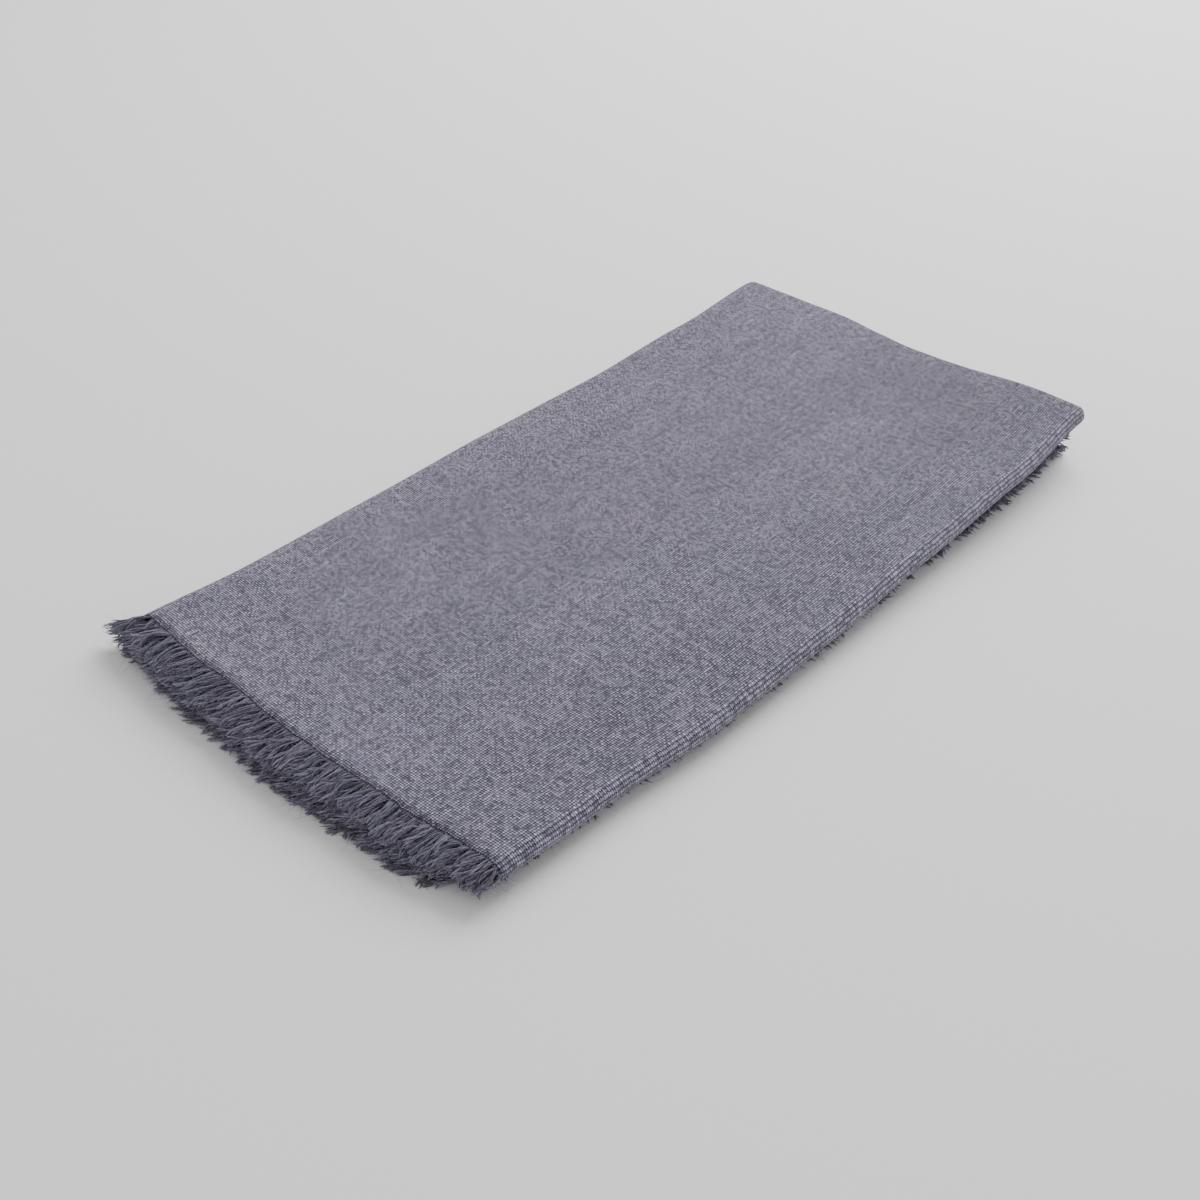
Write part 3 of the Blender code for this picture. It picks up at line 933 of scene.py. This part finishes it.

# Painted shade and painted light on the top face, with soft borders: a painted shadow at the far
# right, painted shade in the trough along the right fold, painted lighter strips by the near fringe
# and the left edge, and two more darker patches.
paintedShadeAndLightZones = (
    {"at": (0.030, 0.112), "size": (0.046, 0.042), "shade": 0.80},
    {"at": (0.040, 0.000), "size": (0.011, 0.150), "shade": 0.95},
    {"at": (-0.040, 0.095), "size": (0.030, 0.030), "shade": 0.94},
    {"at": (0.010, -0.108), "size": (0.070, 0.018), "shade": 1.06},
    {"at": (-0.056, -0.030), "size": (0.014, 0.110), "shade": 1.06},
    {"at": (0.050, -0.060), "size": (0.020, 0.060), "shade": 0.94},
)


def markSpots(tree, place, colour, spots, inner):
    # darkens or lightens the colour in soft ellipses on the top face: the real knots, and the painted
    # shade and light of the zones
    topStart = sum(part[0] for part in sectionParts()[:4])
    turn = math.pi * fold["bend"] / 2
    for spot in spots:
        across = topStart + fold["rightX"] - spot["at"][0]
        down = fold["halfDown"] - (fold["bendY"] - spot["at"][1] + turn)
        u, v = splitXyz(tree, place)
        u = calc(tree, "DIVIDE", calc(tree, "SUBTRACT", u, across), spot["size"][0])
        v = calc(tree, "DIVIDE", calc(tree, "SUBTRACT", v, down), spot["size"][1])
        away = calc(tree, "SQRT", calc(tree, "MULTIPLY_ADD", u, u, calc(tree, "MULTIPLY", v, v)))
        colour = scaleColour(tree, colour, mapRange(tree, away, inner, 1.0, spot["shade"], 1.0, True))
    return colour


def clothMaterial(dye, weave):
    material, tree, shader = newMaterial("wovenLinen")
    place = tree.nodes.new("ShaderNodeUVMap")
    place.uv_map = "flatCloth"
    place = place.outputs[0]
    woven = useGroup(tree, weave, Place=place)
    # the weave's thread shade, with its painted hole shade and crown highlight, scales the dye
    dyed = useGroup(tree, dye, Place=place, Thread=woven.outputs["Thread"])
    height = woven.outputs["Height"]
    # painted shade and painted light on the top face, from the zones table
    colour = markSpots(tree, place, dyed.outputs["Color"], paintedShadeAndLightZones, 0.1)
    colour = markSpots(tree, place, colour, nubs, 0.3)
    tree.links.new(colour, shader.inputs["Base Color"])
    pucker = noiseAt(tree, place, linen["pucker"], 2.0)
    relief = calc(tree, "MULTIPLY_ADD", pucker, 0.5, height)
    addBump(tree, shader, relief, linen["relief"])
    softFinish(shader, 0.90, 0.18)
    return material


def threadMaterial(dye, name, paintedRootShade, paintedTipLight, sheen):
    material, tree, shader = newMaterial(name)
    place = tree.nodes.new("ShaderNodeUVMap")
    place.uv_map = "thread"
    tone = tree.nodes.new("ShaderNodeAttribute")
    tone.attribute_name = "threadTone"
    share = tree.nodes.new("ShaderNodeAttribute")
    share.attribute_name = "threadShare"
    around, along = splitXyz(tree, place.outputs[0])
    thread = mapRange(tree, tone.outputs["Fac"], 0.0, 1.0, 0.58, 1.50)
    dyed = useGroup(tree, dye, Place=place.outputs[0], Thread=thread)
    twist = calc(tree, "MULTIPLY_ADD", along, 5200.0, calc(tree, "MULTIPLY", around, 6283.2))
    ply = calc(tree, "MULTIPLY_ADD", calc(tree, "SINE", twist), 0.5, 0.5)
    # painted shade at the roots, where the threads leave the cloth, and painted light towards the tips
    light = mapRange(tree, share.outputs["Fac"], 0.0, 1.0, paintedRootShade, paintedTipLight)
    # painted shade in the grooves of the twist and painted light on its crests, beside the bump
    light = calc(tree, "MULTIPLY", light, mapRange(tree, ply, 0.0, 1.0, 0.80, 1.12))
    tree.links.new(scaleColour(tree, dyed.outputs["Color"], light), shader.inputs["Base Color"])
    addBump(tree, shader, ply, 0.00005)
    softFinish(shader, 0.92, sheen)
    return material


# Studio
studio = {
    "world": 0.80,
    "keyPower": 15.0,
    "keyPlace": (-0.16, 0.74, 0.72),
    "keySize": 0.8,
    "floorShade": 0.80,
}
view = {
    "target": (0.0143, -0.0357, 0.0080),
    "azimuth": 38.95,
    "elevation": 37.2,
    "roll": 3.5,
    "distance": 0.4245,
    "lens": 50.2,
}


def makeFloor():
    mesh = bpy.data.meshes.new("paleFloor")
    reach = 4.0
    corners = [(-reach, -reach, 0), (reach, -reach, 0), (reach, reach, 0), (-reach, reach, 0)]
    mesh.from_pydata(corners, [], [(0, 1, 2, 3)])
    floor = bpy.data.objects.new("paleFloor", mesh)
    bpy.context.scene.collection.objects.link(floor)
    material, tree, shader = newMaterial("paleFloor")
    coordinates = tree.nodes.new("ShaderNodeTexCoord")
    grain = noiseAt(tree, coordinates.outputs["Object"], 900.0, 3.0)
    light = mapRange(tree, grain, 0.3, 0.7, studio["floorShade"] * 0.985, studio["floorShade"] * 1.015)
    tree.links.new(light, shader.inputs["Base Color"])
    shader.inputs["Roughness"].default_value = 0.85
    shader.inputs["Specular IOR Level"].default_value = 0.2
    mesh.materials.append(material)
    return floor


def aim(item, place, target, roll=0.0):
    back = (Vector(place) - Vector(target)).normalized()
    right = Vector((0, 0, 1)).cross(back).normalized()
    turned = Matrix.Rotation(math.radians(roll), 3, back)
    right = turned @ right
    up = back.cross(right)
    rotation = Matrix((right, up, back)).transposed()
    item.matrix_world = Matrix.Translation(place) @ rotation.to_4x4()


def makeLights():
    world = bpy.data.worlds.new("softStudio")
    world.use_nodes = True
    world.node_tree.nodes["Background"].inputs["Color"].default_value = (1.0, 1.0, 1.0, 1.0)
    world.node_tree.nodes["Background"].inputs["Strength"].default_value = studio["world"]
    bpy.context.scene.world = world
    data = bpy.data.lights.new("keyPanel", "AREA")
    data.energy = studio["keyPower"]
    data.size = studio["keySize"]
    lamp = bpy.data.objects.new("keyPanel", data)
    bpy.context.scene.collection.objects.link(lamp)
    aim(lamp, studio["keyPlace"], (0, 0, 0))


def makeCamera():
    data = bpy.data.cameras.new("camera")
    data.lens = view["lens"]
    data.sensor_width = 36.0
    data.clip_start = 0.01
    camera = bpy.data.objects.new("camera", data)
    bpy.context.scene.collection.objects.link(camera)
    azimuth, elevation = math.radians(view["azimuth"]), math.radians(view["elevation"])
    back = Vector((math.sin(azimuth) * math.cos(elevation), -math.cos(azimuth) * math.cos(elevation),
                   math.sin(elevation)))
    target = Vector(view["target"])
    aim(camera, target + back * view["distance"], target, view["roll"])
    bpy.context.scene.camera = camera


def build():
    dye, weave = dyeGroup(), weaveGroup()
    print("dye and weave groups made")
    cloth = makeCloth()
    cloth.data.materials.append(clothMaterial(dye, weave))
    upper = makeShortFringe("shortFringeOuter", -1, 101)
    lower = makeShortFringe("shortFringeInner", 1, 202)
    inner = makeLongFringe("longFringeUpper", 0, 303)
    outer = makeLongFringe("longFringeLower", 1, 404)
    edges = makeEdgeThreads("edgeThreads")
    fringes = [upper, lower, inner, outer]
    # the frayed yarn: painted shade at the roots and painted light at the tips
    yarn = threadMaterial(dye, "frayedYarn", 0.95, 1.40, 0.25)
    for piece in fringes + [edges]:
        piece.data.materials.append(yarn)
    # the loose fibres: lighter, with painted shade at the roots and painted light at the tips
    fibre = threadMaterial(dye, "looseFibre", 1.2, 1.5, 0.3)
    tuft = makeFuzz("fringeFuzz", fringes, 71)
    loose = makeLint("surfaceLint", 72)
    for piece in (tuft, loose):
        piece.data.materials.append(fibre)
    pieces = [cloth] + fringes + [edges, tuft, loose]
    centreOnFrame(pieces)
    for piece in pieces:
        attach(piece, "root")
        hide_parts("napkin")
    print("napkin placed")


makeCamera()
build()
makeFloor()
makeLights()
